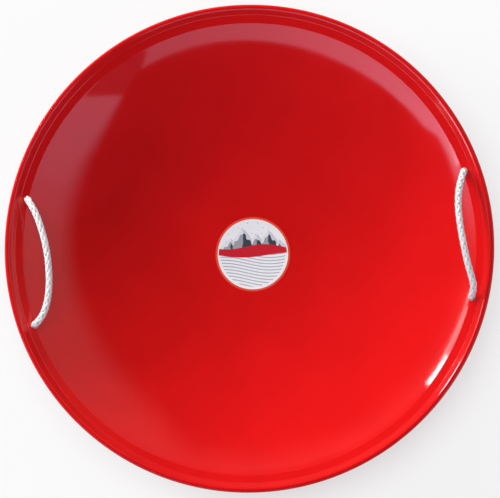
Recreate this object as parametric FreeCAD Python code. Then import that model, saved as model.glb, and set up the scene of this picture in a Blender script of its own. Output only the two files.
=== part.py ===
"""Saucer sled: a pressed sheet-steel dish with a curled rim and two knotted rope handles.

Millimetres, +Z up. The origin is the centre of the flat underside that the dish rests on, and the
handles face each other along X.
"""
import FreeCAD, Part
import math
import os

# Dish
OVERALL_DIAMETER = 660.4
OVERALL_HEIGHT = 95.0
SHEET_THICKNESS = 0.8
FLAT_DIAMETER = 104.0
SHOULDER_RADIUS = 12.0
FLANGE_WIDTH = 9.5
FLANGE_SLOPE_DEG = 29.0

# Raised lip and its curled edge
LIP_HEIGHT = 7.1
LIP_SLOPE_DEG = 37.5
LIP_FOOT_RADIUS = 8.0
CURL_DIAMETER = 7.4
CURL_END_DEG = -165.0

# Rope holes: two pairs on the shoulder, one pair for each handle
HOLE_INSET = 23.2
HOLE_SPACING = 170.0
HOLE_CLEARANCE = 0.5

# Rope handles
ROPE_DIAMETER = 9.5
ROPE_LIFT = 2.4
NECK_GAP = 0.6
BEND_SHARE = 0.45

# Stopper knots under the dish, in rope diameters: overhand knots wound round the axis of their hole
KNOT_HALF_LENGTH = 6.4
KNOT_HALF_TURN_DEG = 280.0
KNOT_WRAP = 1.17
KNOT_WAVE = 1.6

# The wrap keeps its radius, and the wave its height, over these shares of half the knot
KNOT_WRAP_SHARE = 0.72
KNOT_WAVE_SHARE = 0.82
KNOT_STEPS = 12

# Place and tail of the knots
KNOT_GAP = 0.3
TAIL_LENGTH = 18.0
TAIL_ROUNDING = 2.0

# Round label on the flat
LABEL_DIAMETER = 101.6
LABEL_THICKNESS = 0.15
LABEL_GLUE = 0.1

# Each handle's route between its two holes, as the rope stands in the air. A row is the distance
# inward from the line through the holes, the place along that line as a share of half the hole
# spacing, and the height above the point where the rope bends at its hole.
LEFT_ROUTE = [
    (4.0, 0.92, 7.0), (9.5, 0.80, 11.0), (15.0, 0.62, 13.5), (20.0, 0.39, 15.3), (24.0, 0.12, 16.2),
    (25.2, -0.18, 16.4), (24.0, -0.45, 15.5), (20.5, -0.67, 13.8), (14.0, -0.86, 12.0), (5.0, -0.98, 8.5),
]
RIGHT_ROUTE = [
    (2.2, 0.92, 8.0), (6.0, 0.78, 14.0), (9.3, 0.59, 19.5), (10.3, 0.35, 23.8), (8.6, 0.07, 25.6),
    (5.8, -0.20, 25.3), (2.8, -0.45, 23.8), (-1.0, -0.66, 20.0), (-4.2, -0.83, 14.5), (-2.2, -0.94, 8.0),
]
LEFT, RIGHT = -1, 1
BACK, FRONT = 1, -1

# Section of the inner face, worked out from the centre to the rim
flange_slope = math.radians(FLANGE_SLOPE_DEG)
lip_slope = math.radians(LIP_SLOPE_DEG)
curl_radius = CURL_DIAMETER / 2
curl_r = OVERALL_DIAMETER / 2 - curl_radius
curl_z = OVERALL_HEIGHT - curl_radius
flange_z = OVERALL_HEIGHT - LIP_HEIGHT
foot_rise = LIP_FOOT_RADIUS * (math.cos(flange_slope) - math.cos(lip_slope))
curl_rise = curl_radius * (1 - math.cos(lip_slope))
lip_run = (LIP_HEIGHT - foot_rise - curl_rise) / math.sin(lip_slope)
foot_r = curl_r - lip_run * math.cos(lip_slope) - (curl_radius + LIP_FOOT_RADIUS) * math.sin(lip_slope)
foot_z = flange_z + LIP_FOOT_RADIUS * math.cos(flange_slope)
flange_r = foot_r + LIP_FOOT_RADIUS * math.sin(flange_slope)
shoulder_r = flange_r + SHOULDER_RADIUS * math.sin(flange_slope) - FLANGE_WIDTH * math.cos(flange_slope)
shoulder_z = flange_z - SHOULDER_RADIUS * math.cos(flange_slope) - FLANGE_WIDTH * math.sin(flange_slope)
flat_r = FLAT_DIAMETER / 2
wall_slope = 2 * math.atan2(shoulder_z + SHOULDER_RADIUS - SHEET_THICKNESS, shoulder_r - flat_r)
bowl_radius = (shoulder_r - flat_r) / math.sin(wall_slope) - SHOULDER_RADIUS
bowl_centre_z = SHEET_THICKNESS + bowl_radius

# Places of the holes and of what hangs in them
rope_radius = ROPE_DIAMETER / 2
hole_radius = rope_radius + HOLE_CLEARANCE
hole_circle_r = OVERALL_DIAMETER / 2 - HOLE_INSET
hole_x = math.sqrt(hole_circle_r ** 2 - (HOLE_SPACING / 2) ** 2)
bend_z = flange_z + ROPE_LIFT
neck_top_z = bend_z - rope_radius - NECK_GAP


def section_point(r, z):
    """A point of the dish's section, in the XZ plane."""
    return FreeCAD.Vector(r, 0, z)


def section_arc(r, z, radius, start_deg, end_deg):
    """A circular edge of the section about the centre (r, z)."""
    turns = [math.radians(a) for a in (start_deg, (start_deg + end_deg) / 2, end_deg)]
    ends = [section_point(r + radius * math.cos(a), z + radius * math.sin(a)) for a in turns]
    return Part.Arc(*ends).toShape()


def face_edges(depth):
    """The section's edges from the axis to the end of the curl, at a depth below the inner face."""
    slope = math.degrees(wall_slope)
    arcs = [
        section_arc(flat_r, bowl_centre_z, bowl_radius + depth, -90, slope - 90),
        section_arc(shoulder_r, shoulder_z, SHOULDER_RADIUS - depth, 90 + slope, 90 + FLANGE_SLOPE_DEG),
        section_arc(foot_r, foot_z, LIP_FOOT_RADIUS + depth, FLANGE_SLOPE_DEG - 90, LIP_SLOPE_DEG - 90),
        section_arc(curl_r, curl_z, curl_radius - depth, 90 + LIP_SLOPE_DEG, CURL_END_DEG),
    ]
    edges = []
    at = section_point(0, SHEET_THICKNESS - depth)
    for arc in arcs:
        start = arc.valueAt(arc.FirstParameter)
        if at.distanceToPoint(start) > 1e-6:
            edges.append(Part.LineSegment(at, start).toShape())
        edges.append(arc)
        at = arc.valueAt(arc.LastParameter)
    return edges


def hole_centre(side, end, z):
    """The centre of a rope hole at the height z."""
    return FreeCAD.Vector(side * hole_x, end * HOLE_SPACING / 2, z)


def turned(upper, lower):
    """The solid between two lines of section edges that start on the axis, turned about Z."""
    starts = [edges[0].valueAt(edges[0].FirstParameter) for edges in (upper, lower)]
    tips = [edges[-1].valueAt(edges[-1].LastParameter) for edges in (upper, lower)]
    closing = [Part.LineSegment(*starts).toShape(), Part.LineSegment(*tips).toShape()]
    section = Part.Face(Part.Wire(Part.__sortEdges__(upper + lower + closing)))
    return section.revolve(FreeCAD.Vector(), FreeCAD.Vector(0, 0, 1), 360)


def make_dish():
    """The pressed dish: its sheet section turned about Z, with the four rope holes punched."""
    punch_z = shoulder_z
    punches = [
        Part.makeCylinder(hole_radius, OVERALL_HEIGHT - punch_z, hole_centre(side, end, punch_z))
        for side in (LEFT, RIGHT)
        for end in (BACK, FRONT)
    ]
    return turned(face_edges(0), face_edges(SHEET_THICKNESS)).cut(punches)


def face_z(r):
    """The height of the inner face at a radius on the flat, in the bowl, on the shoulder or on the flange."""
    past_flat = max(0, r - flat_r)
    if past_flat < bowl_radius * math.sin(wall_slope):
        return bowl_centre_z - math.sqrt(bowl_radius ** 2 - past_flat ** 2)
    before_shoulder = shoulder_r - r
    if before_shoulder > SHOULDER_RADIUS * math.sin(flange_slope):
        return shoulder_z + math.sqrt(SHOULDER_RADIUS ** 2 - before_shoulder ** 2)
    return flange_z - (flange_r - r) * math.tan(flange_slope)


def make_label():
    """The round label, flat on its glue, at the height where its edge meets the inner face."""
    label_r = LABEL_DIAMETER / 2
    return Part.makeCylinder(label_r, LABEL_THICKNESS, FreeCAD.Vector(0, 0, face_z(label_r) + LABEL_GLUE))


def handle_points(side, route):
    """A handle's points from its back hole to its front hole."""
    inner = [
        FreeCAD.Vector(side * (hole_x - inward), share * HOLE_SPACING / 2, bend_z + up)
        for inward, share, up in route
    ]
    return [hole_centre(side, BACK, bend_z), *inner, hole_centre(side, FRONT, bend_z)]


def rope_path(points):
    """Straight runs joined by arcs as large as the runs allow, and the radii of those arcs."""
    edges, radii = [], []
    at = points[0]
    for before, corner, after in zip(points, points[1:], points[2:]):
        back = (before - corner).normalize()
        ahead = (after - corner).normalize()
        half_turn = (math.pi - back.getAngle(ahead)) / 2
        reach = BEND_SHARE * min(before.distanceToPoint(corner), corner.distanceToPoint(after))
        radius = reach / math.tan(half_turn)
        bisector = (back + ahead).normalize()
        middle = corner + bisector * (math.hypot(radius, reach) - radius)
        start, end = corner + back * reach, corner + ahead * reach
        edges.append(Part.LineSegment(at, start).toShape())
        edges.append(Part.Arc(start, middle, end).toShape())
        radii.append(radius)
        at = end
    edges.append(Part.LineSegment(at, points[-1]).toShape())
    return Part.Wire(edges), radii


def least_gap(path):
    """The least gap between stretches of one rope that lie two diameters or more apart along it."""
    points = path.discretize(Distance=ROPE_DIAMETER / 10)
    apart = 20
    gaps = [a.distanceToPoint(b) for k, a in enumerate(points) for b in points[k + apart:]]
    return min(gaps) - ROPE_DIAMETER


def make_tube(name, points):
    """A tube of the rope's diameter along the points, with what is known of its path printed."""
    path, radii = rope_path(points)
    section = Part.Wire(Part.makeCircle(rope_radius, points[0], points[1] - points[0]))
    tube = path.makePipeShell([section], True, False)
    expected = math.pi * rope_radius ** 2 * path.Length
    print(f"{name}: {path.Length:.1f} mm long, radii {', '.join(f'{r:.0f}' for r in radii)} mm, "
          f"gap to itself {least_gap(path):.2f} mm, "
          f"volume {tube.Volume / expected:.4f} of section times length")
    return tube


def make_rope(name, points):
    """A handle's free rope: a tube along its route, rounded at both ends where it bends in its holes."""
    ends = [Part.makeSphere(rope_radius, point) for point in (points[0], points[-1])]
    return make_tube(name, points).fuse(ends).removeSplitter()


def knot_centre_z():
    """The height at which a knot's top lies against the sheet at its hole, or its side against the wall."""
    around = rope_radius + KNOT_GAP + SHEET_THICKNESS
    side = KNOT_WRAP * ROPE_DIAMETER + around
    top = KNOT_WAVE * ROPE_DIAMETER + around
    by_wall = bowl_centre_z - math.sqrt((bowl_radius + side) ** 2 - (hole_circle_r - flat_r) ** 2)
    return min(by_wall, face_z(hole_circle_r) - top)


def knot_point(centre, bearing, along):
    """A point of an overhand knot, from -1 at its tail to 1 at its neck.

    The rope winds steadily round the hole's axis. Its distance from the axis is the wrap, and falls to
    nothing at both ends. Its height is one wave, which runs on into the straight ends. The wave's upper
    loop faces along the bearing.
    """
    angle = bearing + math.radians(KNOT_HALF_TURN_DEG) * (along + KNOT_WAVE_SHARE / 2)
    fall = max(0, abs(along) - KNOT_WRAP_SHARE) / (1 - KNOT_WRAP_SHARE)
    out = KNOT_WRAP * (1 + math.cos(math.pi * fall)) / 2
    if abs(along) < KNOT_WAVE_SHARE:
        up = -KNOT_WAVE * math.sin(math.pi * along / KNOT_WAVE_SHARE)
    else:
        up = math.copysign(KNOT_HALF_LENGTH * (abs(along) - KNOT_WAVE_SHARE), along)
    return centre + FreeCAD.Vector(out * math.cos(angle), out * math.sin(angle), up) * ROPE_DIAMETER


def make_knot(name, side, end):
    """A rope end: its neck up through the hole, the knot that stops it and the tail below."""
    centre = hole_centre(side, end, knot_centre_z())
    bearing = math.atan2(centre.y, centre.x)
    knot = [knot_point(centre, bearing, step / KNOT_STEPS) for step in range(KNOT_STEPS, -KNOT_STEPS - 1, -1)]
    tail_z = centre.z - KNOT_WAVE * ROPE_DIAMETER - rope_radius - TAIL_LENGTH
    neck = hole_centre(side, end, neck_top_z - rope_radius)
    tube = make_tube(name, [neck, *knot, hole_centre(side, end, tail_z)])
    foot = [e for e in tube.Edges if e.BoundBox.ZMax < tail_z + TAIL_ROUNDING]
    return tube.makeFillet(TAIL_ROUNDING, foot).fuse(Part.makeSphere(rope_radius, neck)).removeSplitter()


def main():
    pieces = {
        "dish": make_dish(),
        "centre_label": make_label(),
        "left_rope": make_rope("left_rope", handle_points(LEFT, LEFT_ROUTE)),
        "right_rope": make_rope("right_rope", handle_points(RIGHT, RIGHT_ROUTE)),
    }
    for side_name, side in (("left", LEFT), ("right", RIGHT)):
        for end_name, end in (("back", BACK), ("front", FRONT)):
            name = f"{side_name}_{end_name}_knot"
            pieces[name] = make_knot(name, side, end)
    os.makedirs("parts", exist_ok=True)
    for name, shape in pieces.items():
        print(f"{name}: valid {shape.isValid()}, {len(shape.Solids)} solid, {shape.Volume / 1000:.2f} cm3")
        shape.exportStep(f"parts/{name}.step")


main()
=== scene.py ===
"""Saucer sled, dressed: an enamelled dish, two braided rope handles with tied ends, and a round label."""

import math
from itertools import accumulate

import bmesh
import bpy
import numpy as np
from mathutils import Matrix, Vector


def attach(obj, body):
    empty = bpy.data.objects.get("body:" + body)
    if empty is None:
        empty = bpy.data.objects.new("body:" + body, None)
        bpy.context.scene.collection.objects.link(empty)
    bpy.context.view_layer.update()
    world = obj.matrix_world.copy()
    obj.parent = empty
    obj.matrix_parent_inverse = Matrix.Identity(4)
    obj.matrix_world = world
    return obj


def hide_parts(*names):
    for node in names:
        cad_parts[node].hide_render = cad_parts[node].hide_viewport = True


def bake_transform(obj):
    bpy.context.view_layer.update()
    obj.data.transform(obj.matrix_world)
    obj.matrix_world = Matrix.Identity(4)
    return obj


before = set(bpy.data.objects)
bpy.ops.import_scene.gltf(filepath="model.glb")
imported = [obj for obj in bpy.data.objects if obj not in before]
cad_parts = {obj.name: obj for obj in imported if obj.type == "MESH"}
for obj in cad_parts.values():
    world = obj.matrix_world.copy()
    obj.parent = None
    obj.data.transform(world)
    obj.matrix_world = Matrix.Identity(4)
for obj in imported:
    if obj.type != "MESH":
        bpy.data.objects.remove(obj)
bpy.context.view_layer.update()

# Sizes of the dish, in metres: those of the part's source, but for a flange that slopes a little less
RIM_RADIUS = 0.3302
DISH_HEIGHT = 0.095
SHEET = 0.0008
FLAT_RADIUS = 0.052
SHOULDER_RADIUS = 0.012
FLANGE_WIDTH = 0.0095
FLANGE_SLOPE = math.radians(25.5)
LIP_HEIGHT = 0.0071
LIP_SLOPE = math.radians(37.5)
LIP_FOOT_RADIUS = 0.008
CURL_RADIUS = 0.0037
CURL_END = math.radians(-165)
HOLE_CIRCLE = 0.307
HOLE_Y = 0.085
HOLE_RADIUS = 0.00525

# The dish's grid: how finely the section's stretches are drawn, the columns between a handle's two holes
# and between the two handles, and the window round a hole, whose rings crowd to the hole by a power
BOWL_STEPS = 44
BEND_STEPS = 8
CURL_STEPS = 30
FLAT_POINTS = 4
FLANGE_POINTS = 7
LIP_POINTS = 4
COLUMNS_IN_PAIR = 38
COLUMNS_BETWEEN_PAIRS = 178
WINDOW_MARGIN = 0.0012
WINDOW_HALF_COLUMNS = 3
WINDOW_RINGS = 7
WINDOW_CROWDING = 1.4

# Sizes of the ropes: the lift is from the lip's foot to the bend over a hole, and the heights are those
# where a handle ends and stands upright in its holes, and where the neck of a tied end begins
ROPE_DIAMETER = 0.0095
ROPE_LIFT = 0.0024
HANDLE_END_Z = 0.0775
HANDLE_UPRIGHT_Z = 0.0840
NECK_TOP_Z = 0.0780
LEFT_LENGTH = 0.216
RIGHT_LENGTH = 0.211
LINE_STEPS = 36

# The braid: its pitch in metres, then a strand's mean distance from the rope's line, its lift at a
# crossing, its half thickness and half width, and the core's radius, in rope diameters
BRAID_PITCH = 0.044
STRANDS_EACH_WAY = 4
STRAND_DISTANCE = 0.335
STRAND_LIFT = 0.056
STRAND_HALF_THICKNESS = 0.106
STRAND_HALF_WIDTH = 0.190
CORE_RADIUS = 0.30
TUBE_SIDES = 10

# The yarns of a strand, in radians to a metre across it and along it, and how far they and the fibres rise
YARNS_ACROSS = 12000.0
YARNS_ALONG = 900.0
YARN_RELIEF = 0.5
FIBRE_RELIEF = 0.8

# The knots, in rope diameters and in shares of half the tied length; gap, tail and tip are in metres
KNOT_HALF_LENGTH = 6.4
KNOT_HALF_TURN = math.radians(280)
KNOT_WRAP = 1.17
KNOT_WAVE = 1.6
KNOT_WRAP_SHARE = 0.72
KNOT_WAVE_SHARE = 0.82
KNOT_STEPS = 12
KNOT_GAP = 0.0003
TAIL_LENGTH = 0.018
BRAID_END_IN_TIP = 0.0015
TIP_RADIUS = 0.0046
TIP_DEPTH = 0.0022
TIP_SKIRT = 0.0034
TIP_RINGS = 10
TIP_COLUMNS = 40

# Sizes of the label, and its grid
LABEL_RADIUS = 0.0508
LABEL_TOP = 0.00105
LABEL_TURN = math.radians(3.58)
LABEL_RINGS = 160
LABEL_COLUMNS = 288
LABEL_EDGE_POINTS = 7

# The label's print, in shares of its radius: the middle, top and steepness of each peak, how ragged the
# peaks are, the tracks' spacing and half width, and how far out each kind of print goes. The flakes' size
# is in shares of their spacing
LABEL_PEAKS = [
    (-0.60, 0.44, 0.95), (-0.27, 0.71, 1.25), (0.10, 0.56, 1.05), (0.42, 0.66, 1.2), (0.70, 0.40, 0.9),
]
CRAG_WIDTH = 0.10
TRACK_SPACING = 0.042
TRACK_HALF_WIDTH = 0.012
TRACKS_TO = 0.87
FLAKES_TO = 0.88
PRINT_TO = 0.915
BORDER_FROM = 0.945
FLAKE_SIZE = 0.17
FLAKE_BLUE = (0.42, 0.46, 0.54, 1)
SUNLIT_SNOW = (0.80, 0.81, 0.84, 1)
SHADED_SNOW = (0.62, 0.65, 0.71, 1)
HILL_RED = (0.60, 0.018, 0.030, 1)
TRACK_GREY = (0.38, 0.40, 0.45, 1)
BORDER_RED = (0.80, 0.085, 0.042, 1)

# Edges over these angles stay sharp, and vertices closer than this are merged
SHARP_ANGLE = math.radians(40)
ROPE_SHARP_ANGLE = math.radians(80)
MERGE_DISTANCE = 1e-7

# The dish's section and the places of its holes, worked out from those sizes
CURL_R = RIM_RADIUS - CURL_RADIUS
CURL_Z = DISH_HEIGHT - CURL_RADIUS
FOOT_RISE = LIP_FOOT_RADIUS * (math.cos(FLANGE_SLOPE) - math.cos(LIP_SLOPE))
LIP_RUN = (LIP_HEIGHT - FOOT_RISE - CURL_RADIUS * (1 - math.cos(LIP_SLOPE))) / math.sin(LIP_SLOPE)
FOOT_R = CURL_R - LIP_RUN * math.cos(LIP_SLOPE) - (CURL_RADIUS + LIP_FOOT_RADIUS) * math.sin(LIP_SLOPE)
FOOT_Z = DISH_HEIGHT - LIP_HEIGHT + LIP_FOOT_RADIUS * math.cos(FLANGE_SLOPE)
BOTH_BENDS = LIP_FOOT_RADIUS + SHOULDER_RADIUS
SHOULDER_R = FOOT_R + BOTH_BENDS * math.sin(FLANGE_SLOPE) - FLANGE_WIDTH * math.cos(FLANGE_SLOPE)
SHOULDER_Z = FOOT_Z - BOTH_BENDS * math.cos(FLANGE_SLOPE) - FLANGE_WIDTH * math.sin(FLANGE_SLOPE)
WALL_SLOPE = 2 * math.atan2(SHOULDER_Z + SHOULDER_RADIUS - SHEET, SHOULDER_R - FLAT_RADIUS)
BOWL_RADIUS = (SHOULDER_R - FLAT_RADIUS) / math.sin(WALL_SLOPE) - SHOULDER_RADIUS
BOWL_Z = SHEET + BOWL_RADIUS
HOLE_X = math.sqrt(HOLE_CIRCLE ** 2 - HOLE_Y ** 2)
HOLE_ANGLE = math.atan2(HOLE_Y, HOLE_X)
HOLE_Z = SHOULDER_Z + math.sqrt(SHOULDER_RADIUS ** 2 - (SHOULDER_R - HOLE_CIRCLE) ** 2)
BEND_Z = DISH_HEIGHT - LIP_HEIGHT + ROPE_LIFT

# The sides of the dish along X, and the ends of a handle along Y
LEFT, RIGHT = -1, 1
BACK, FRONT = 1, -1

# Routes of the two handles: distance inward from the line through the holes, place along that line as
# a share of half the hole spacing, and height above the bend at the holes
LEFT_ROUTE = [
    (0.0040, 0.92, 0.0070), (0.0095, 0.80, 0.0110), (0.0150, 0.62, 0.0135), (0.0200, 0.39, 0.0153),
    (0.0240, 0.12, 0.0162), (0.0252, -0.18, 0.0164), (0.0240, -0.45, 0.0155), (0.0205, -0.67, 0.0138),
    (0.0140, -0.86, 0.0120), (0.0050, -0.98, 0.0085),
]
RIGHT_ROUTE = [
    (0.0022, 0.92, 0.0080), (0.0060, 0.78, 0.0140), (0.0093, 0.59, 0.0195), (0.0103, 0.35, 0.0238),
    (0.0086, 0.07, 0.0256), (0.0058, -0.20, 0.0253), (0.0028, -0.45, 0.0238), (-0.0010, -0.66, 0.0200),
    (-0.0042, -0.83, 0.0145), (-0.0022, -0.94, 0.0080),
]

# Where a rope bends when its handle swings: from a little under the line through its holes, and on in the
# direction that its arch takes there
LEFT_BEND_WAY = (0.6, 0, 0.8)
RIGHT_BEND_WAY = (0, 0, 1)

# The studio's pale panels, bearing by bearing in degrees: the light, the height of the top edge in
# degrees, and how soft that edge is; then the most that each of these three may reach
PANELS = [
    (75, 0.30, 22, 9), (110, 0.38, 19, 9), (165, 0.35, 18, 8), (180, 1.3, 22.3, 2.6), (190, 2.0, 22.8, 1.2),
    (200, 2.6, 23.4, 0.7), (204, 2.6, 26.4, 0.4), (215, 2.2, 28.3, 0.3), (225, 1.95, 30.1, 0.3),
    (235, 1.75, 31.2, 0.3), (250, 1.42, 32.3, 0.3), (270, 1.15, 32.8, 0.3), (296, 0.96, 32.6, 0.3),
    (300, 1.0, 33, 0.5), (303, 1.12, 35.6, 0.7), (308, 1.12, 37.2, 0.9), (312, 1.12, 38.8, 1.2),
    (317, 1.12, 40.2, 1.9), (325, 1.12, 41.2, 3.0), (338, 1.02, 41, 4.3), (345, 0.82, 41, 5),
    (370, 0.63, 40.5, 5.5), (390, 0.46, 40, 6), (410, 0.39, 37, 7), (425, 0.34, 32, 8), (435, 0.30, 22, 9),
]
PANEL_MOST = (3.0, 50.0, 10.0)

# The panels' foot, the dark gap and the bluer front, with bearings and heights in degrees, the room's own
# light by the sine of the height, and the distance of the lamps
FOOT_HEIGHT = 21.0
FOOT_LEAN = 5.6
FOOT_BEARING = 300
FOOT_SOFTNESS = 0.7
GAP_BEARING = -56.0
GAP_HALF_WIDTH = 35.6
GAP_NARROWING = 0.88
GAP_SOFTNESS = 0.6
GAP_LIGHT = 0.10
BLUE_BEARING = 265
BLUE_FROM, BLUE_TO = -0.1, 0.2
BLUE_MOST = 1.37
ROOM_LIGHT = [(0.0, 0.40), (0.14, 0.42), (0.26, 0.08), (0.6, 0.05), (1.0, 0.04)]
LAMP_DISTANCE = 8.0

# The floor: its rings and height, and where its glow rises from its level under the sled to that outside;
# the lowered glow under and round the sled is painted shade on top of its real shadow
FLOOR_RADII = (0, 1, 2, 4, 9)
FLOOR_COLUMNS = 96
FLOOR_Z = -0.0003
GLOW_FROM, GLOW_TO = 0.20, 0.38
GLOW_IN_PAINTED_SHADE, GLOW_OUTSIDE = 0.10, 0.80

# The camera: its distance, its tilt off the dish's axis, the bearing of that tilt, and its roll; then, in
# pixels of the picture, a metre at the rim, the picture's width and the aim's place off the dish's middle
CAMERA_DISTANCE = 8.0
CAMERA_TILT = math.radians(6.6)
CAMERA_BEARING = math.radians(-61.9)
CAMERA_ROLL = math.radians(3.36)
PIXELS_TO_METRE = 743.0
PICTURE_WIDTH = 500
AIM_RIGHT = 1.12
AIM_DOWN = 1.30
SENSOR_WIDTH = 36


def node(tree, kind, inputs=None, **settings):
    """One shader node. Each input is a value or another node's output socket."""
    made = tree.nodes.new("ShaderNode" + kind)
    for key, value in settings.items():
        setattr(made, key, value)
    for key, value in (inputs or {}).items():
        if isinstance(value, bpy.types.NodeSocket):
            tree.links.new(value, made.inputs[key])
        else:
            made.inputs[key].default_value = value
    return made


def maths(tree, operation, *values):
    """The result of a maths node on numbers and other nodes' results."""
    return node(tree, "Math", dict(enumerate(values)), operation=operation).outputs["Value"]


def soft_step(tree, value, low, high, before=0.0, after=1.0):
    """A smooth step of a value, from one level up to the low place to another from the high place on."""
    places = {0: value, 1: low, 2: high, 3: before, 4: after}
    return node(tree, "MapRange", places, interpolation_type="SMOOTHSTEP").outputs[0]


def wavy(tree, across, rate, start, size, level):
    """A level plus a sine wave of the place across."""
    wave = maths(tree, "SINE", maths(tree, "MULTIPLY_ADD", across, rate, start))
    return maths(tree, "MULTIPLY_ADD", wave, size, level)


def laid(tree, share, under, over):
    """A colour laid over another where the share is one."""
    return node(tree, "Mix", {0: share, 6: under, 7: over}, data_type="RGBA").outputs[2]


def ramp(tree, factor, *stops):
    """A colour ramp through stops of a position and a grey level or a colour."""
    made = node(tree, "ValToRGB", {"Fac": factor})
    elements = made.color_ramp.elements
    while len(elements) < len(stops):
        elements.new(1)
    for element, (position, colour) in zip(elements, stops):
        element.position = position
        element.color = (*colour, 1) if isinstance(colour, tuple) else (colour, colour, colour, 1)
    return made.outputs["Color"]


def new_finish(name):
    """A new node material, with its tree and its main shader."""
    material = bpy.data.materials.new(name)
    material.use_nodes = True
    return material, material.node_tree, material.node_tree.nodes["Principled BSDF"]


def set_sockets(shader, values):
    """Sets constants on the shader's own sockets."""
    for key, value in values.items():
        shader.inputs[key].default_value = value


def mesh_piece(name, vertices, faces, materials, angle=SHARP_ANGLE, marks=None, finishes=None):
    """A mesh object at the origin, doubles merged, normals outward, smooth except at edges over the angle.

    Marks are named numbers at the vertices, which its materials read. Finishes gives each face's material.
    """
    mesh = bpy.data.meshes.new(name)
    mesh.from_pydata(vertices.tolist(), [], faces.tolist())
    for mark, values in (marks or {}).items():
        mesh.attributes.new(mark, "FLOAT", "POINT").data.foreach_set("value", values.ravel())
    if finishes is not None:
        mesh.polygons.foreach_set("material_index", finishes)
    cleaned = bmesh.new()
    cleaned.from_mesh(mesh)
    bmesh.ops.remove_doubles(cleaned, verts=cleaned.verts, dist=MERGE_DISTANCE)
    bmesh.ops.recalc_face_normals(cleaned, faces=cleaned.faces)
    cleaned.to_mesh(mesh)
    cleaned.free()
    mesh.shade_smooth()
    mesh.set_sharp_from_angle(angle=angle)
    for material in materials:
        mesh.materials.append(material)
    piece = bpy.data.objects.new(name, mesh)
    bpy.context.scene.collection.objects.link(piece)
    return piece


def grid_faces(rows, columns, start=0):
    """Quads of a grid whose vertices are numbered row by row from start, and whose columns wrap round."""
    i = np.arange(rows - 1)[:, None]
    j = np.arange(columns)[None, :]
    k = (j + 1) % columns
    row, following = i * columns, (i + 1) * columns
    quads = np.stack([row + j, row + k, following + k, following + j], axis=-1)
    return quads.reshape(-1, 4) + start


def full_turn(columns):
    """Angles of a number of columns, evenly round a full turn."""
    return np.linspace(0, 2 * math.pi, columns, endpoint=False)


def turned(section, angles):
    """Points (r, z) of a section turned about Z to each angle a, as rows of (r cos a, r sin a, z)."""
    r, z = section[:, :1], section[:, 1:]
    return np.stack(np.broadcast_arrays(r * np.cos(angles), r * np.sin(angles), z), axis=-1)


# Dish

def section_arc(r, z, radius, start, end, steps):
    """An arc of the section: its centre plus the radius times the cosine and sine of an even angle."""
    a = np.linspace(start, end, steps + 1)
    return np.column_stack([r + radius * np.cos(a), z + radius * np.sin(a)])


def sheet_face(depth):
    """Section of the sheet at a depth below its inner face, from the axis to the end of the curl.

    It runs along the flat, the bowl's arc, the shoulder's arc, the flange, the arc at the lip's foot,
    the straight lip and the curl's arc, which all meet in line.
    """
    quarter = math.pi / 2
    bowl = section_arc(FLAT_RADIUS, BOWL_Z, BOWL_RADIUS + depth,
                       -quarter, WALL_SLOPE - quarter, BOWL_STEPS)
    shoulder = section_arc(SHOULDER_R, SHOULDER_Z, SHOULDER_RADIUS - depth,
                           quarter + WALL_SLOPE, quarter + FLANGE_SLOPE, BEND_STEPS)
    foot = section_arc(FOOT_R, FOOT_Z, LIP_FOOT_RADIUS + depth,
                       FLANGE_SLOPE - quarter, LIP_SLOPE - quarter, BEND_STEPS)
    curl = section_arc(CURL_R, CURL_Z, CURL_RADIUS - depth, quarter + LIP_SLOPE, CURL_END, CURL_STEPS)
    flat = np.linspace([0, SHEET - depth], bowl[0], FLAT_POINTS)[:-1]
    flange = np.linspace(shoulder[-1], foot[0], FLANGE_POINTS)[1:-1]
    lip = np.linspace(foot[-1], curl[0], LIP_POINTS)[1:-1]
    return np.vstack([flat, bowl, shoulder[1:], flange, foot, lip, curl])


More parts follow.
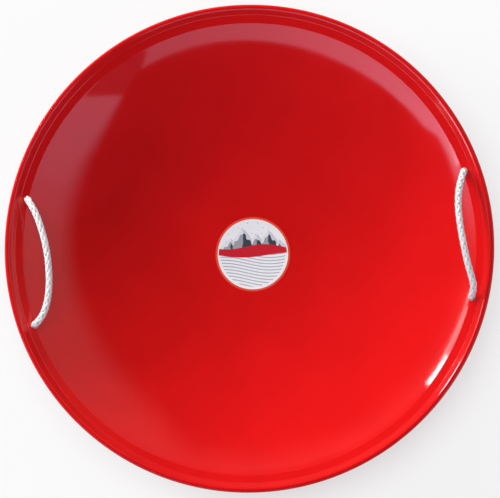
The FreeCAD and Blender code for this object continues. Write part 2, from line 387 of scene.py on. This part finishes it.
def make_dish(materials):
    """The pressed dish: both faces of the sheet turned about Z as one closed grid, with rope holes let in.

    A vertex is (r cos a, r sin a, z) for a point (r, z) of the section and an angle a. Round each hole
    a window of the grid gives way to rings that go from the window's edge to the hole's circle.
    """
    inner, outer = sheet_face(0), sheet_face(SHEET)
    first = np.argmax(inner[:, 0] > HOLE_CIRCLE - HOLE_RADIUS - WINDOW_MARGIN) - 1
    last = np.argmax(inner[:, 0] > HOLE_CIRCLE + HOLE_RADIUS + WINDOW_MARGIN)
    section = np.vstack([inner, outer[::-1]])
    last_row = len(section) - 1
    short = np.linspace(-HOLE_ANGLE, HOLE_ANGLE, COLUMNS_IN_PAIR, endpoint=False)
    long = np.linspace(HOLE_ANGLE, math.pi - HOLE_ANGLE, COLUMNS_BETWEEN_PAIRS, endpoint=False)
    angles = np.concatenate([short, long, short + math.pi, long + math.pi])
    columns = len(angles)
    vertices = turned(section, angles)
    faces = grid_faces(len(section), columns).reshape(last_row, columns, 4)
    keep = np.ones(faces.shape[:2], bool)
    blocks, quads = [vertices.reshape(-1, 3)], []
    count = len(blocks[0])
    reach = np.linspace(0, 1, WINDOW_RINGS) ** WINDOW_CROWDING
    half_turn = COLUMNS_IN_PAIR + COLUMNS_BETWEEN_PAIRS
    for column in (0, COLUMNS_IN_PAIR, half_turn, half_turn + COLUMNS_IN_PAIR):
        centre = HOLE_CIRCLE * np.array([math.cos(angles[column]), math.sin(angles[column])])
        across = np.arange(column - WINDOW_HALF_COLUMNS, column + WINDOW_HALF_COLUMNS + 1) % columns
        circles = []
        for under, top, bottom in ((False, first, last), (True, last_row - last, last_row - first)):
            keep[top:bottom, across[:-1]] = False
            rows = np.arange(top, bottom + 1)
            edge = np.concatenate([
                vertices[top, across[:-1]], vertices[rows[:-1], across[-1]],
                vertices[bottom, across[:0:-1]], vertices[rows[:0:-1], across[0]]])
            if under:
                edge = edge[::-1]
            near = (outer if under else inner)[first - 1:last + 2]
            bearing = np.arctan2(edge[:, 1] - centre[1], edge[:, 0] - centre[0])
            circle = centre + HOLE_RADIUS * np.column_stack([np.cos(bearing), np.sin(bearing)])
            flat = circle + reach[:, None, None] * (edge[:, :2] - circle)
            height = np.interp(np.hypot(flat[..., 0], flat[..., 1]), near[:, 0], near[:, 1])
            height[-1] = edge[:, 2]
            patch = np.concatenate([flat, height[..., None]], axis=-1)
            quads.append(grid_faces(WINDOW_RINGS, len(edge), count))
            blocks.append(patch.reshape(-1, 3))
            circles.append(count + np.arange(len(edge)))
            count += patch.size // 3
        turn = np.argmin(np.linalg.norm(blocks[-1][:len(circles[1]), :2] - blocks[-2][0, :2], axis=1))
        lower = np.roll(circles[1], -turn)
        quads.append(np.column_stack([circles[0], np.roll(circles[0], -1), np.roll(lower, -1), lower]))
    return mesh_piece("enamelled_dish", np.vstack(blocks), np.vstack([faces[keep], *quads]), materials)


# Ropes

def smooth_line(points):
    """Points along a quadratic NURBS spline with the given control points, as Blender evaluates it."""
    curve = bpy.data.curves.new("rope_line", "CURVE")
    curve.dimensions = "3D"
    curve.resolution_u = LINE_STEPS
    spline = curve.splines.new("NURBS")
    spline.points.add(len(points) - 1)
    spline.points.foreach_set("co", np.column_stack([points, np.ones(len(points))]).ravel())
    spline.order_u = 3
    spline.use_endpoint_u = True
    holder = bpy.data.objects.new("rope_line", curve)
    line = bpy.data.meshes.new_from_object(holder)
    found = np.empty(len(line.vertices) * 3)
    line.vertices.foreach_get("co", found)
    bpy.data.objects.remove(holder)
    bpy.data.curves.remove(curve)
    bpy.data.meshes.remove(line)
    return found.reshape(-1, 3)


def carry(normal, tangent):
    """A normal taken on to the next tangent by the least turn."""
    bare = normal - tangent * (normal @ tangent)
    return bare / np.linalg.norm(bare)


def rope_frame(line):
    """Distance along a line, and at each point its tangent and two normals that don't twist about it."""
    steps = np.linalg.norm(np.diff(line, axis=0), axis=1)
    along = np.concatenate([[0], np.cumsum(steps)])
    tangent = np.gradient(line, along, axis=0)
    tangent /= np.linalg.norm(tangent, axis=1)[:, None]
    first = carry(np.eye(3)[np.argmin(np.abs(tangent[0]))], tangent[0])
    normal = np.array(list(accumulate(tangent[1:], carry, initial=first)))
    return along, tangent, normal, np.cross(tangent, normal)


def tube_faces(tubes, stations, sides):
    """Quads of several tubes, each a grid of stations and sides, numbered one tube after the other."""
    one = grid_faces(stations, sides)
    return (one[None] + np.arange(tubes)[:, None, None] * stations * sides).reshape(-1, 4)


def braid(line):
    """Vertices, quads and marks of a rope braided over a core, along a line.

    Half of the strands wind one way and half the other at a steady pitch. A strand's distance from the
    line is a mean radius plus a wave that lifts it over one crossing and under the next, the cosine of
    the distance along times the strands each way times the pitch's angular rate, with opposite signs
    for the two ways. Its section is a flat ellipse, square to its own direction. The marks are the
    place across a strand, the place along the rope and the height over the line in rope radii.
    """
    along, tangent, normal, other = rope_frame(line)
    n = STRANDS_EACH_WAY
    rate = 2 * math.pi / BRAID_PITCH
    mean = ROPE_DIAMETER * STRAND_DISTANCE
    lift = ROPE_DIAMETER * STRAND_LIFT
    half_thick = ROPE_DIAMETER * STRAND_HALF_THICKNESS
    half_wide = ROPE_DIAMETER * STRAND_HALF_WIDTH
    way = np.repeat([1, -1], n)[:, None]
    spin = way * rate * along + np.tile(np.arange(n), 2)[:, None] * 2 * math.pi / n
    radius = mean + way * lift * np.cos(n * rate * along)
    outward = np.cos(spin)[..., None] * normal + np.sin(spin)[..., None] * other
    around = np.cos(spin)[..., None] * other - np.sin(spin)[..., None] * normal
    lean = math.atan(rate * mean)
    across = math.cos(lean) * around - way[..., None] * math.sin(lean) * tangent
    a = np.arange(TUBE_SIDES) * 2 * math.pi / TUBE_SIDES
    closing = np.ones(len(line))
    closing[[0, -1]] = 0
    middles = line + radius[..., None] * outward
    thick = half_thick * np.sin(a)[:, None] * outward[:, :, None]
    wide = half_wide * np.cos(a)[:, None] * across[:, :, None]
    strands = middles[:, :, None] + closing[:, None, None] * (thick + wide)
    core_radius = CORE_RADIUS * ROPE_DIAMETER * closing
    core = line[:, None] + core_radius[:, None, None] * (
        np.cos(a)[:, None] * normal[:, None] + np.sin(a)[:, None] * other[:, None])
    vertices = np.vstack([strands.reshape(-1, 3), core.reshape(-1, 3)])
    strand_marks = {
        "strand_across": way[..., None] * half_wide * np.cos(a),
        "strand_along": along[:, None],
        # The height mark lets the rope's finish paint shade into the hollows between strands.
        "strand_height": 2 * (radius[..., None] + half_thick * np.sin(a)) / ROPE_DIAMETER,
    }
    marks = {}
    for name, values in strand_marks.items():
        on_strands = np.broadcast_to(values, strands.shape[:3]).ravel()
        marks[name] = np.concatenate([on_strands, np.zeros(core.size // 3)])
    return vertices, tube_faces(2 * n + 1, len(line), TUBE_SIDES), marks


def hole_point(side, end, z):
    """A point on the axis of a rope hole."""
    return np.array([side * HOLE_X, end * HOLE_Y, z])


def handle_route(side, route):
    """Control points of a handle: up out of its back hole, along its arch and down into its front hole."""
    arch = [(side * (HOLE_X - inward), share * HOLE_Y, BEND_Z + up) for inward, share, up in route]
    ends = (HANDLE_END_Z, HANDLE_UPRIGHT_Z, BEND_Z)
    back = [hole_point(side, BACK, z) for z in ends]
    front = [hole_point(side, FRONT, z) for z in ends[::-1]]
    return np.vstack([back, arch, front])


def knot_route(side, end):
    """Control points of a rope end, from its neck through an overhand knot to its tail.

    The rope winds round the hole's axis at a steady rate. Its distance from the axis is the wrap, and
    falls by half a cosine to nothing at both ends. Its height is one sine wave, which runs on straight.
    The height of the tail's end is given too.
    """
    around = ROPE_DIAMETER / 2 + KNOT_GAP + SHEET
    centre_z = HOLE_Z - KNOT_WAVE * ROPE_DIAMETER - around
    share = np.linspace(1, -1, 2 * KNOT_STEPS + 1)
    bearing = math.atan2(end * HOLE_Y, side * HOLE_X)
    angle = bearing + KNOT_HALF_TURN * (share + KNOT_WAVE_SHARE / 2)
    fall = np.clip((np.abs(share) - KNOT_WRAP_SHARE) / (1 - KNOT_WRAP_SHARE), 0, 1)
    out = KNOT_WRAP * (1 + np.cos(math.pi * fall)) / 2
    past = KNOT_HALF_LENGTH * (np.abs(share) - KNOT_WAVE_SHARE) * np.sign(share)
    wave = -KNOT_WAVE * np.sin(math.pi * share / KNOT_WAVE_SHARE)
    up = np.where(np.abs(share) < KNOT_WAVE_SHARE, wave, past)
    knot = ROPE_DIAMETER * np.column_stack([out * np.cos(angle), out * np.sin(angle), up])
    knot += hole_point(side, end, centre_z)
    tail_z = centre_z - KNOT_WAVE * ROPE_DIAMETER - ROPE_DIAMETER / 2 - TAIL_LENGTH
    neck = hole_point(side, end, NECK_TOP_Z)
    tail = hole_point(side, end, tail_z + BRAID_END_IN_TIP)
    return np.vstack([neck, knot, tail]), tail_z


def make_handle(name, side, route, materials):
    """A handle's free rope and the line that it follows."""
    line = smooth_line(handle_route(side, route))
    vertices, quads, marks = braid(line)
    return mesh_piece(name, vertices, quads, materials, ROPE_SHARP_ANGLE, marks), line


def melted_tip(side, end, tail_z):
    """The melted end of a tail: a dome on a polar grid, with a short skirt over the strands.

    The dome's radius falls and its height drops as the cosine and sine of an angle. Its radius and the
    skirt's edge are uneven by a few slow waves round the tip.
    """
    turn = full_turn(TIP_COLUMNS)
    drop = np.linspace(0, math.pi / 2, TIP_RINGS)
    wave = 1 + 0.03 * np.sin(3 * turn + side) + 0.02 * np.sin(7 * turn + end)
    skirt = TIP_SKIRT + 0.0006 * np.sin(5 * turn + 2 * side + end) + 0.0004 * np.sin(9 * turn)
    skirt_radii = [0.0036, 0.0045, TIP_RADIUS]
    skirt_heights = [skirt + 0.0002, skirt, 0.6 * skirt + 0.0008]
    dome = np.broadcast_to(TIP_DEPTH * (1 - np.sin(drop))[:, None], (TIP_RINGS, TIP_COLUMNS))
    r = np.concatenate([skirt_radii, TIP_RADIUS * np.cos(drop)])[:, None] * wave
    z = np.concatenate([skirt_heights, dome])
    shape = np.stack([r * np.cos(turn), r * np.sin(turn), z], axis=-1)
    return shape.reshape(-1, 3) + hole_point(side, end, tail_z), grid_faces(len(r), TIP_COLUMNS)


def make_tied_end(name, side, end, materials):
    """A rope end below the dish: its neck, its knot and its tail with a melted tip."""
    route, tail_z = knot_route(side, end)
    vertices, quads, marks = braid(smooth_line(route))
    tip, tip_quads = melted_tip(side, end, tail_z)
    finishes = np.repeat([0, 1], [len(quads), len(tip_quads)])
    marks = {mark: np.concatenate([values, np.ones(len(tip))]) for mark, values in marks.items()}
    faces = np.vstack([quads, tip_quads + len(vertices)])
    return mesh_piece(name, np.vstack([vertices, tip]), faces, materials, ROPE_SHARP_ANGLE, marks, finishes)


# Label

def make_label(materials):
    """The round label: a disc on a polar grid whose edge rolls over by a quarter circle to the dish."""
    thickness = LABEL_TOP - SHEET
    inside = LABEL_RADIUS - thickness
    a = np.linspace(math.pi / 2, 0, LABEL_EDGE_POINTS)
    top = np.column_stack([np.linspace(0, inside, LABEL_RINGS), np.full(LABEL_RINGS, LABEL_TOP)])
    edge = np.column_stack([inside + thickness * np.cos(a), SHEET + thickness * np.sin(a)])
    section = np.vstack([top, edge[1:], [[0, SHEET]]])
    vertices = turned(section, full_turn(LABEL_COLUMNS)).reshape(-1, 3)
    return mesh_piece("printed_label", vertices, grid_faces(len(section), LABEL_COLUMNS), materials)


# Finishes

def red_enamel():
    """Glossy red paint on pressed steel: faint orange peel, slow waves of the sheet, an uneven gloss."""
    material, tree, shader = new_finish("red_enamel_gloss")
    place = node(tree, "TexCoord").outputs["Object"]
    waves = node(tree, "TexNoise", {"Vector": place, "Scale": 9.0, "Detail": 1.0})
    peel = node(tree, "TexNoise", {"Vector": place, "Scale": 420.0, "Detail": 2.0})
    slow = node(tree, "Bump", {"Height": waves.outputs["Fac"], "Strength": 1.0, "Distance": 0.0004})
    fine = node(tree, "Bump", {"Height": peel.outputs["Fac"], "Strength": 1.0, "Distance": 0.000008,
                               "Normal": slow.outputs["Normal"]})
    cloud = node(tree, "TexNoise", {"Vector": place, "Scale": 14.0, "Detail": 5.0})
    tone = ramp(tree, cloud.outputs["Fac"], (0.3, (0.61, 0.0052, 0.0058)), (0.7, (0.66, 0.0062, 0.0068)))
    gloss = ramp(tree, cloud.outputs["Fac"], (0.3, 0.06), (0.7, 0.085))
    tree.links.new(tone, shader.inputs["Base Color"])
    tree.links.new(gloss, shader.inputs["Roughness"])
    tree.links.new(fine.outputs["Normal"], shader.inputs["Normal"])
    set_sockets(shader, {"IOR": 1.5})
    return material


def white_rope():
    """White braided fibre: yarns that run along each strand, with painted shade that greys the hollows
    between them, and a soft sheen.
    """
    material, tree, shader = new_finish("white_rope_braid")
    place = node(tree, "TexCoord").outputs["Object"]
    across = node(tree, "Attribute", attribute_name="strand_across").outputs["Fac"]
    along = node(tree, "Attribute", attribute_name="strand_along").outputs["Fac"]
    height = node(tree, "Attribute", attribute_name="strand_height").outputs["Fac"]
    turn = maths(tree, "MULTIPLY", along, YARNS_ALONG)
    yarns = maths(tree, "SINE", maths(tree, "MULTIPLY_ADD", across, YARNS_ACROSS, turn))
    fibre = node(tree, "TexNoise", {"Vector": place, "Scale": 2600.0, "Detail": 3.0})
    raised = maths(tree, "MULTIPLY", yarns, YARN_RELIEF)
    rough = maths(tree, "MULTIPLY_ADD", fibre.outputs["Fac"], FIBRE_RELIEF, raised)
    bump = node(tree, "Bump", {"Height": rough, "Strength": 0.7, "Distance": 0.0001})
    cloud = node(tree, "TexNoise", {"Vector": place, "Scale": 160.0, "Detail": 3.0})
    fresh = ramp(tree, cloud.outputs["Fac"], (0.3, (0.80, 0.798, 0.79)), (0.7, (0.84, 0.838, 0.83)))
    # Painted shade: each strand's colour greys toward its low edges, where the hollows between strands lie.
    painted_hollow_shade = ramp(tree, height, (0.58, 0.70), (0.82, 1.0))
    tone = node(tree, "Mix", {0: 1.0, 6: fresh, 7: painted_hollow_shade}, data_type="RGBA",
                blend_type="MULTIPLY").outputs[2]
    tree.links.new(tone, shader.inputs["Base Color"])
    tree.links.new(bump.outputs["Normal"], shader.inputs["Normal"])
    set_sockets(shader, {"Roughness": 0.62, "Sheen Weight": 0.15, "Sheen Roughness": 0.5})
    return material


def melted_fibre():
    """Fibre melted to a hard bead: yellowed, with darker scorched flecks and an uneven gloss."""
    material, tree, shader = new_finish("melted_fibre")
    place = node(tree, "TexCoord").outputs["Object"]
    fleck = node(tree, "TexNoise", {"Vector": place, "Scale": 700.0, "Detail": 4.0})
    tone = ramp(tree, fleck.outputs["Fac"], (0.35, (0.30, 0.21, 0.12)), (0.5, (0.62, 0.55, 0.42)),
                (0.7, (0.72, 0.69, 0.60)))
    gloss = ramp(tree, fleck.outputs["Fac"], (0.3, 0.45), (0.7, 0.25))
    bump = node(tree, "Bump", {"Height": fleck.outputs["Fac"], "Strength": 0.8, "Distance": 0.0003})
    tree.links.new(tone, shader.inputs["Base Color"])
    tree.links.new(gloss, shader.inputs["Roughness"])
    tree.links.new(bump.outputs["Normal"], shader.inputs["Normal"])
    return material


def label_print():
    """Satin white film in an orange-red border, printed with snowy peaks, a red hill and grey ski tracks.

    Across and up are shares of the label's radius. The ridge is the highest of several tents, each a
    height less a slope times the distance from its middle. The hill's two edges, the lower edge of the
    snow on the peaks and the tracks are sine waves of the place across.
    """
    material, tree, shader = new_finish("label_print")
    place = node(tree, "TexCoord").outputs["Object"]
    upright = node(tree, "Mapping", {"Vector": place, "Rotation": (0, 0, LABEL_TURN),
                                     "Scale": (1 / LABEL_RADIUS, 1 / LABEL_RADIUS, 0)})
    axes = node(tree, "SeparateXYZ", {"Vector": upright.outputs["Vector"]})
    across, up = axes.outputs["X"], axes.outputs["Y"]
    out = node(tree, "VectorMath", {0: upright.outputs["Vector"]}, operation="LENGTH").outputs["Value"]
    crags = node(tree, "TexNoise", {"Vector": upright.outputs["Vector"], "Scale": 9.0, "Detail": 3.0})
    ragged = maths(tree, "MULTIPLY_ADD", crags.outputs["Fac"], CRAG_WIDTH, across)
    ridge, shade = 0.0, 0.0
    for middle, top, slope in LABEL_PEAKS:
        past = maths(tree, "SUBTRACT", ragged, middle + CRAG_WIDTH / 2)
        tent = maths(tree, "MULTIPLY_ADD", maths(tree, "ABSOLUTE", past), -slope, top)
        higher = maths(tree, "GREATER_THAN", tent, ridge)
        flank = maths(tree, "SUBTRACT", maths(tree, "GREATER_THAN", past, 0.0), shade)
        shade = maths(tree, "MULTIPLY_ADD", higher, flank, shade)
        ridge = maths(tree, "MAXIMUM", ridge, tent)
    hill_top = wavy(tree, across, 3.1, 0.6, 0.07, 0.20)
    hill_foot = wavy(tree, across, 2.3, -0.9, 0.07, -0.02)
    cap_foot = wavy(tree, ragged, 47.0, 0.0, 0.03, 0.13)
    under_ridge = maths(tree, "LESS_THAN", up, ridge)
    bare = maths(tree, "GREATER_THAN", maths(tree, "SUBTRACT", ridge, up), cap_foot)
    under_hill_top = maths(tree, "LESS_THAN", up, hill_top)
    under_hill = maths(tree, "LESS_THAN", up, hill_foot)
    aside = maths(tree, "PINGPONG", wavy(tree, across, 2.6, 0.4, 0.09, up), TRACK_SPACING)
    near_track = maths(tree, "LESS_THAN", aside, TRACK_HALF_WIDTH)
    on_track = maths(tree, "MULTIPLY", near_track, maths(tree, "LESS_THAN", out, TRACKS_TO))
    flakes = node(tree, "TexVoronoi", {"Vector": upright.outputs["Vector"], "Scale": 11.0})
    near_flake = maths(tree, "LESS_THAN", flakes.outputs["Distance"], FLAKE_SIZE)
    on_flake = maths(tree, "MULTIPLY", near_flake, maths(tree, "LESS_THAN", out, FLAKES_TO))
    film = node(tree, "TexNoise", {"Vector": place, "Scale": 90.0, "Detail": 3.0})
    paper = ramp(tree, film.outputs["Fac"], (0.3, (0.865, 0.875, 0.895)), (0.7, (0.895, 0.905, 0.925)))
    sky = laid(tree, on_flake, paper, FLAKE_BLUE)
    rock = ramp(tree, shade, (0.0, (0.36, 0.37, 0.41)), (1.0, (0.055, 0.06, 0.08)))
    snow_cap = laid(tree, shade, SUNLIT_SNOW, SHADED_SNOW)
    peaks = laid(tree, under_ridge, sky, laid(tree, bare, snow_cap, rock))
    hill = laid(tree, under_hill_top, peaks, HILL_RED)
    snow = laid(tree, under_hill, hill, laid(tree, on_track, paper, TRACK_GREY))
    white_edge = laid(tree, maths(tree, "GREATER_THAN", out, PRINT_TO), snow, paper)
    tone = laid(tree, maths(tree, "GREATER_THAN", out, BORDER_FROM), white_edge, BORDER_RED)
    gloss = ramp(tree, film.outputs["Fac"], (0.3, 0.34), (0.7, 0.44))
    bump = node(tree, "Bump", {"Height": film.outputs["Fac"], "Strength": 1.0, "Distance": 0.00004})
    tree.links.new(tone, shader.inputs["Base Color"])
    tree.links.new(gloss, shader.inputs["Roughness"])
    tree.links.new(bump.outputs["Normal"], shader.inputs["Normal"])
    return material


# Stage

def make_floor():
    """A wide pale disc just under the sled, on a polar grid. From below it isn't seen and blocks no light.

    Its white glow fades by a soft step of the distance from the middle, so the sled's real shadow stays;
    the glow lowered under and just round the sled is painted shade too.
    """
    section = np.column_stack([FLOOR_RADII, np.full(len(FLOOR_RADII), FLOOR_Z)])
    vertices = turned(section, full_turn(FLOOR_COLUMNS)).reshape(-1, 3)
    material, tree, shader = new_finish("pale_floor")
    set_sockets(shader, {"Base Color": (0.82, 0.82, 0.82, 1), "Roughness": 0.8})
    ray = node(tree, "LightPath")
    seen = maths(tree, "MAXIMUM", ray.outputs["Is Camera Ray"], ray.outputs["Is Glossy Ray"])
    seen = maths(tree, "MAXIMUM", seen, ray.outputs["Is Transmission Ray"])
    out = node(tree, "VectorMath", {0: node(tree, "TexCoord").outputs["Object"]}, operation="LENGTH")
    # Painted shade: the floor's glow is lowered in a fixed disc under the sled and a ring just round it.
    glow = soft_step(tree, out.outputs["Value"], GLOW_FROM, GLOW_TO, GLOW_IN_PAINTED_SHADE, GLOW_OUTSIDE)
    share = maths(tree, "MULTIPLY", seen, glow)
    white = node(tree, "Emission", {"Strength": 1.0})
    pale = node(tree, "MixShader", {0: share, 1: shader.outputs[0], 2: white.outputs[0]})
    below = node(tree, "NewGeometry").outputs["Backfacing"]
    clear = node(tree, "BsdfTransparent")
    one_sided = node(tree, "MixShader", {0: below, 1: pale.outputs[0], 2: clear.outputs[0]})
    tree.links.new(one_sided.outputs[0], tree.nodes["Material Output"].inputs["Surface"])
    mesh = bpy.data.meshes.new("floor")
    mesh.from_pydata(vertices.tolist(), [], grid_faces(len(section), FLOOR_COLUMNS).tolist())
    if mesh.polygons[-1].normal.z < 0:
        mesh.flip_normals()
    mesh.materials.append(material)
    floor = bpy.data.objects.new("floor", mesh)
    floor.visible_diffuse = False
    floor.visible_shadow = False
    bpy.context.scene.collection.objects.link(floor)


def make_world():
    """A dim studio with pale panels on its sides, by the bearing and the height of the direction.

    A panel's light is its level, times a soft step down at its top edge and a soft step up at its foot.
    The level, the top edge and its softness run evenly from one bearing of the list to the next. The
    foot is a mean height plus a cosine of the bearing. Between the front and the side panel is a dark
    gap, which narrows evenly with the height. The room is pale at the horizon and dim overhead,
    and its light is a little bluer in front, by another cosine of the bearing.
    """
    world = bpy.data.worlds.new("studio")
    bpy.context.scene.world = world
    world.use_nodes = True
    tree = world.node_tree
    way = node(tree, "SeparateXYZ", {"Vector": node(tree, "TexCoord").outputs["Generated"]})
    bearing = maths(tree, "ARCTAN2", way.outputs["Y"], way.outputs["X"])
    height = maths(tree, "MULTIPLY", maths(tree, "ARCSINE", way.outputs["Z"]), math.degrees(1))
    start = PANELS[0][0]
    turn = maths(tree, "FRACT", maths(tree, "MULTIPLY_ADD", bearing, 0.5 / math.pi, 1 - start / 360))
    places = [(row[0] - start) / 360 for row in PANELS]
    level, top, soft = (
        maths(tree, "MULTIPLY", ramp(tree, turn, *zip(places, [row[k] / most for row in PANELS])), most)
        for k, most in enumerate(PANEL_MOST, 1))
    edge_low, edge_high = maths(tree, "SUBTRACT", top, soft), maths(tree, "ADD", top, soft)
    under_top = soft_step(tree, height, edge_low, edge_high, 1.0, 0.0)
    lean = maths(tree, "COSINE", maths(tree, "SUBTRACT", bearing, math.radians(FOOT_BEARING)))
    foot = maths(tree, "MULTIPLY_ADD", lean, FOOT_LEAN, FOOT_HEIGHT)
    over_foot = soft_step(tree, maths(tree, "SUBTRACT", height, foot), -FOOT_SOFTNESS, FOOT_SOFTNESS)
    aside = maths(tree, "ABSOLUTE", maths(tree, "MULTIPLY_ADD", bearing, math.degrees(1), -GAP_BEARING))
    past_foot_of_gap = maths(tree, "SUBTRACT", aside, GAP_HALF_WIDTH)
    past_gap = maths(tree, "MULTIPLY_ADD", height, GAP_NARROWING, past_foot_of_gap)
    beside_gap = soft_step(tree, past_gap, -GAP_SOFTNESS, GAP_SOFTNESS, GAP_LIGHT, 1.0)
    within = maths(tree, "MULTIPLY", maths(tree, "MULTIPLY", under_top, over_foot), beside_gap)
    panel = maths(tree, "MULTIPLY", level, within)
    light = maths(tree, "ADD", ramp(tree, way.outputs["Z"], *ROOM_LIGHT), panel)
    front = maths(tree, "COSINE", maths(tree, "SUBTRACT", bearing, math.radians(BLUE_BEARING)))
    blue = node(tree, "MapRange", {0: front, 1: BLUE_FROM, 2: BLUE_TO, 3: 1.0, 4: BLUE_MOST}).outputs[0]
    tint = node(tree, "CombineColor", {"Red": 1.0, "Green": 1.0, "Blue": blue})
    tree.links.new(tint.outputs["Color"], tree.nodes["Background"].inputs["Color"])
    tree.links.new(light, tree.nodes["Background"].inputs["Strength"])


def lamp(name, azimuth, elevation, wide, high, radiance, mirrored=True):
    """A soft rectangular lamp far off, which faces the sled; its place and its size are in degrees.

    A lamp that isn't mirrored lights the sled but leaves no highlight on it. It is sampled only as a
    lamp, because Cycles would else count its light twice where its highlight would be.
    """
    a, e = math.radians(azimuth), math.radians(elevation)
    away = Vector((math.cos(a) * math.cos(e), math.sin(a) * math.cos(e), math.sin(e)))
    light = bpy.data.lights.new(name, "AREA")
    light.shape = "RECTANGLE"
    light.size = 2 * LAMP_DISTANCE * math.cos(e) * math.tan(math.radians(wide / 2))
    light.size_y = 2 * LAMP_DISTANCE * math.tan(math.radians(high / 2))
    light.energy = radiance * math.pi * light.size * light.size_y
    light.cycles.use_multiple_importance_sampling = mirrored
    holder = bpy.data.objects.new(name, light)
    turn = away.to_track_quat("Z", "Y").to_matrix().to_4x4()
    holder.matrix_world = Matrix.Translation(away * LAMP_DISTANCE) @ turn
    holder.visible_camera = False
    holder.visible_glossy = mirrored
    bpy.context.scene.collection.objects.link(holder)


def make_camera():
    """A camera far over the dish and a little off its axis, so that the rim fills the picture."""
    focal_px = PIXELS_TO_METRE * CAMERA_DISTANCE
    sideways = math.sin(CAMERA_TILT)
    away = Vector((sideways * math.cos(CAMERA_BEARING), sideways * math.sin(CAMERA_BEARING),
                   math.cos(CAMERA_TILT)))
    up = Vector((math.sin(CAMERA_ROLL), math.cos(CAMERA_ROLL), 0))
    up = (up - away * up.dot(away)).normalized()
    right = up.cross(away)
    aim = Vector((0, 0, CURL_Z)) + (right * AIM_RIGHT - up * AIM_DOWN) * CAMERA_DISTANCE / focal_px
    lens = bpy.data.cameras.new("camera")
    lens.sensor_width = SENSOR_WIDTH
    lens.lens = focal_px * SENSOR_WIDTH / PICTURE_WIDTH
    camera = bpy.data.objects.new("camera", lens)
    turn = Matrix((right, up, away)).transposed().to_4x4()
    camera.matrix_world = Matrix.Translation(aim + away * CAMERA_DISTANCE) @ turn
    bpy.context.scene.collection.objects.link(camera)
    bpy.context.scene.camera = camera


enamel, rope, tip, film = red_enamel(), white_rope(), melted_fibre(), label_print()

dish = make_dish([enamel])
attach(dish, "sled")
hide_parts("dish")

label = make_label([film])
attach(label, "sled")
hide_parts("centre_label")

for side_name, side, route, length, up in (
        ("left", LEFT, LEFT_ROUTE, LEFT_LENGTH, LEFT_BEND_WAY),
        ("right", RIGHT, RIGHT_ROUTE, RIGHT_LENGTH, RIGHT_BEND_WAY)):
    for end_name, end in (("back", BACK), ("front", FRONT)):
        knot = make_tied_end(f"{side_name}_{end_name}_tied_end", side, end, [rope, tip])
        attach(knot, "sled")
        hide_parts(f"{side_name}_{end_name}_knot")
    handle, line = make_handle(f"{side_name}_braided_rope", side, route, [rope])
    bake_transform(handle)
    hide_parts(f"{side_name}_rope")

make_floor()
make_world()

# Each lamp's azimuth, elevation, width and height in degrees, and its radiance
lamp("key", 140.5, 16.4, 8, 1.8, 32)
lamp("key_glow", 152, 17.9, 16, 1.2, 7)
lamp("corner_strip", 199, 21.3, 16, 2, 6)
lamp("soft_top", 130, 78, 120, 35, 2.9, mirrored=False)
lamp("soft_key", 150, 25, 38, 8, 26.5, mirrored=False)
lamp("soft_back", 105, 15, 60, 8, 14.5, mirrored=False)
lamp("low_back", 112, 5, 26, 5, 12.5, mirrored=False)
lamp("low_front", 295, 6, 36, 6, 9.3, mirrored=False)
make_camera()
bpy.context.scene.view_settings.view_transform = "Standard"
